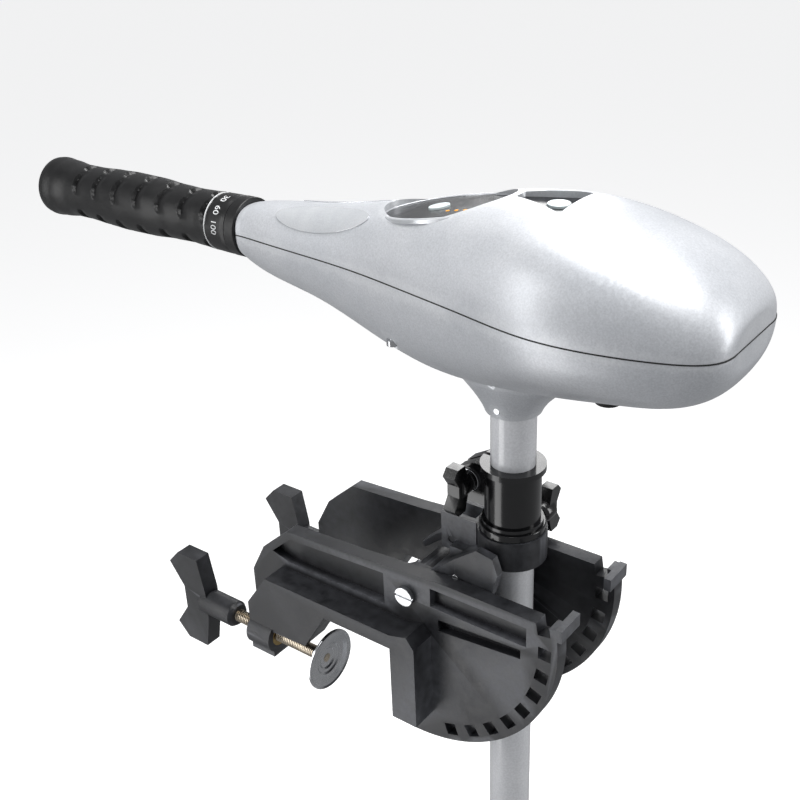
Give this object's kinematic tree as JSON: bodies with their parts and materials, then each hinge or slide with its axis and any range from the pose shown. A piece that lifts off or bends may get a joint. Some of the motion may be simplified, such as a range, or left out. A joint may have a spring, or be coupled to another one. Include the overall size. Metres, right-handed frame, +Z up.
{
  "type": "trolling motor",
  "caption": "Transom-clamped electric trolling motor with a telescoping twist-grip tiller head, tilting bracket, steering collar and weedless propeller.",
  "frame": {"origin": "on the bracket's flat face that bears on the outside of the transom, in the plane of symmetry, level with the clamp screws", "axes": "+Z up along the shaft, -X inboard towards the tiller grip, +X outboard towards the propeller, -Y the left side plate"},
  "size_m": [0.6048, 0.153, 1.2213],
  "materials": {
    "bracket_nylon": "grained black glass-filled nylon",
    "stainless": "brushed stainless steel",
    "bronze_thread": "rolled thread, warm tint",
    "brass_insert": "machined",
    "collar_acetal": "glossy black",
    "bush_nylon": "moulded black acetal",
    "pearl_shell": "pearl white satin with fine sparkle",
    "badge_silver": "smooth silver",
    "panel_film": "printed black film",
    "button_white": "printed dome",
    "amber_lens": "clear amber",
    "board_green": "solder mask",
    "gland_rubber": "moulded",
    "black_case": "moulded",
    "grip_rubber": "satin black",
    "tube_aluminium": "drawn",
    "shaft_composite": "glossy white composite",
    "pod_enamel": "white enamel on cast aluminium",
    "ferrite": "sintered",
    "core_steel": "laminated",
    "carbon": "pressed carbon",
    "prop_nylon": "moulded black"
  },
  "bodies": {
    "bracket": {"side_plate_left": "bracket_nylon", "side_plate_right": "bracket_nylon", "transom_seat": "bracket_nylon", "bracket_screws": "stainless", "pivot_bolt": "stainless", "pivot_nut": "stainless", "clamp_inserts": "brass_insert"},
    "pad_left": {"cup_pad_left": "stainless"},
    "screw_left": {"clamp_screw_left": "bronze_thread", "clamp_knob_left": "bracket_nylon"},
    "pad_right": {"cup_pad_right": "stainless"},
    "screw_right": {"clamp_screw_right": "bronze_thread", "clamp_knob_right": "bracket_nylon"},
    "yoke": {"tilt_yoke": "bracket_nylon", "hinge_bushing": "bush_nylon", "thrust_ring": "bush_nylon", "yoke_screws": "stainless"},
    "lever": {"release_lever": "bracket_nylon"},
    "cam": {"latch_rod": "stainless"},
    "pin_left": {"latch_pin_left": "stainless"},
    "pin_right": {"latch_pin_right": "stainless"},
    "drag_pad": {"tension_pad": "bush_nylon"},
    "drag_screw": {"tension_stud": "stainless", "tension_knob": "collar_acetal"},
    "collar": {"depth_collar": "collar_acetal", "collar_nut": "stainless"},
    "washer": {"collar_washer": "stainless"},
    "collar_screw": {"collar_stud": "stainless", "collar_knob": "collar_acetal"},
    "drive": {"shaft_tube": "shaft_composite", "motor_leads": "gland_rubber", "neck_screw": "stainless", "head_cover": "pearl_shell", "head_housing": "pearl_shell", "head_screws": "stainless", "control_panel": "panel_film", "led_lenses": "amber_lens", "rear_panel": "panel_film", "badges": "badge_silver", "circuit_board": "board_green", "cord_gland": "gland_rubber", "speed_pot": "black_case", "motor_housing": "pod_enamel", "nose_bell": "pod_enamel", "tail_bell": "pod_enamel", "magnets": "ferrite", "bearings": "stainless", "brush_set": "carbon"},
    "meter_button": {"meter_button": "button_white"},
    "power_button": {"power_button": "button_white"},
    "tiller": {"extension_tube": "tube_aluminium", "scale_ring": "grip_rubber"},
    "grip": {"grip": "grip_rubber", "grip_end_cap": "grip_rubber"},
    "control_rod": {"control_rod": "tube_aluminium"},
    "rotor": {"armature": "core_steel", "motor_shaft": "stainless", "propeller": "prop_nylon", "drive_pin": "stainless", "prop_nut": "stainless"}
  },
  "joints": [
    {"name": "tilt", "type": "hinge", "parent": "bracket", "child": "yoke", "pos_m": [0.001, 0, 0.0755], "axis": [0, 1, 0], "range_deg": [-80, 0]},
    {"name": "steer", "type": "hinge", "parent": "yoke", "child": "collar", "pos_m": [0.056, 0, 0.13], "axis": [0, 0, 1], "continuous": true},
    {"name": "depth", "type": "slide", "parent": "collar", "child": "drive", "axis": [0, 0, 1], "range_m": [-0.03, 0.4]},
    {"name": "clamp_travel_left", "type": "slide", "parent": "bracket", "child": "pad_left", "axis": [1, 0, 0], "range_m": [-0.00476, 0.01905]},
    {"name": "clamp_turn_left", "type": "hinge", "parent": "pad_left", "child": "screw_left", "pos_m": [-0.151, -0.054, 0], "axis": [1, 0, 0], "range_deg": [-1110, 4400]},
    {"name": "clamp_travel_right", "type": "slide", "parent": "bracket", "child": "pad_right", "axis": [1, 0, 0], "range_m": [-0.00476, 0.01905]},
    {"name": "clamp_turn_right", "type": "hinge", "parent": "pad_right", "child": "screw_right", "pos_m": [-0.151, 0.054, 0], "axis": [1, 0, 0], "range_deg": [-1110, 4400]},
    {"name": "lever_throw", "type": "hinge", "parent": "yoke", "child": "lever", "pos_m": [0.016, 0, 0.107], "axis": [0, 1, 0], "range_deg": [0, 52]},
    {"name": "cam_slide", "type": "slide", "parent": "yoke", "child": "cam", "axis": [0, 0, -1], "range_m": [0, 0.01]},
    {"name": "pin_slide_left", "type": "slide", "parent": "yoke", "child": "pin_left", "axis": [0, -1, 0], "range_m": [0, 0.0064]},
    {"name": "pin_slide_right", "type": "slide", "parent": "yoke", "child": "pin_right", "axis": [0, 1, 0], "range_m": [0, 0.0064]},
    {"name": "drag_travel", "type": "slide", "parent": "yoke", "child": "drag_pad", "axis": [0, 1, 0], "range_m": [0, 0.0015]},
    {"name": "drag_turn", "type": "hinge", "parent": "drag_pad", "child": "drag_screw", "pos_m": [0.056, 0.04, 0.11625], "axis": [0, 1, 0], "range_deg": [0, 445]},
    {"name": "washer_travel", "type": "slide", "parent": "collar", "child": "washer", "axis": [0, -1, 0], "range_m": [0, 0.0025]},
    {"name": "collar_turn", "type": "hinge", "parent": "washer", "child": "collar_screw", "pos_m": [0.03, -0.02, 0.1575], "axis": [0, -1, 0], "range_deg": [0, 740]},
    {"name": "tiller_slide", "type": "slide", "parent": "drive", "child": "tiller", "axis": [-1, 0, 0], "range_m": [0, 0.15]},
    {"name": "grip_twist", "type": "hinge", "parent": "tiller", "child": "grip", "pos_m": [-0.25, 0, 0.29], "axis": [1, 0, 0], "range_deg": [-80, 80]},
    {"name": "control_rod_turn", "type": "hinge", "parent": "drive", "child": "control_rod", "pos_m": [-0.2, 0, 0.29], "axis": [1, 0, 0], "range_deg": [-84, 84]},
    {"name": "meter_press", "type": "slide", "parent": "drive", "child": "meter_button", "axis": [0.1908, 0, -0.9816], "range_m": [0, 0.001], "stiffness_N_per_m": 600, "springref_m": -0.001},
    {"name": "power_press", "type": "slide", "parent": "drive", "child": "power_button", "axis": [0, 0, -1], "range_m": [0, 0.001], "stiffness_N_per_m": 600, "springref_m": -0.001},
    {"name": "prop_spin", "type": "hinge", "parent": "drive", "child": "rotor", "pos_m": [0.1, 0, -0.723], "axis": [1, 0, 0], "continuous": true}
  ],
  "couplings": [
    {"joint": "clamp_turn_left", "follows": "clamp_travel_left", "rad_per_m": 3957.9},
    {"joint": "pin_slide_left", "follows": "cam_slide", "ratio": 0.6},
    {"joint": "clamp_turn_right", "follows": "clamp_travel_right", "rad_per_m": 3957.9},
    {"joint": "pin_slide_right", "follows": "cam_slide", "ratio": 0.6},
    {"joint": "lever_throw", "follows": "cam_slide", "rad_per_m": 87.266},
    {"joint": "drag_turn", "follows": "drag_travel", "rad_per_m": 5026.5},
    {"joint": "collar_turn", "follows": "washer_travel", "rad_per_m": 5026.5},
    {"joint": "control_rod_turn", "follows": "grip_twist", "ratio": 1}
  ]
}
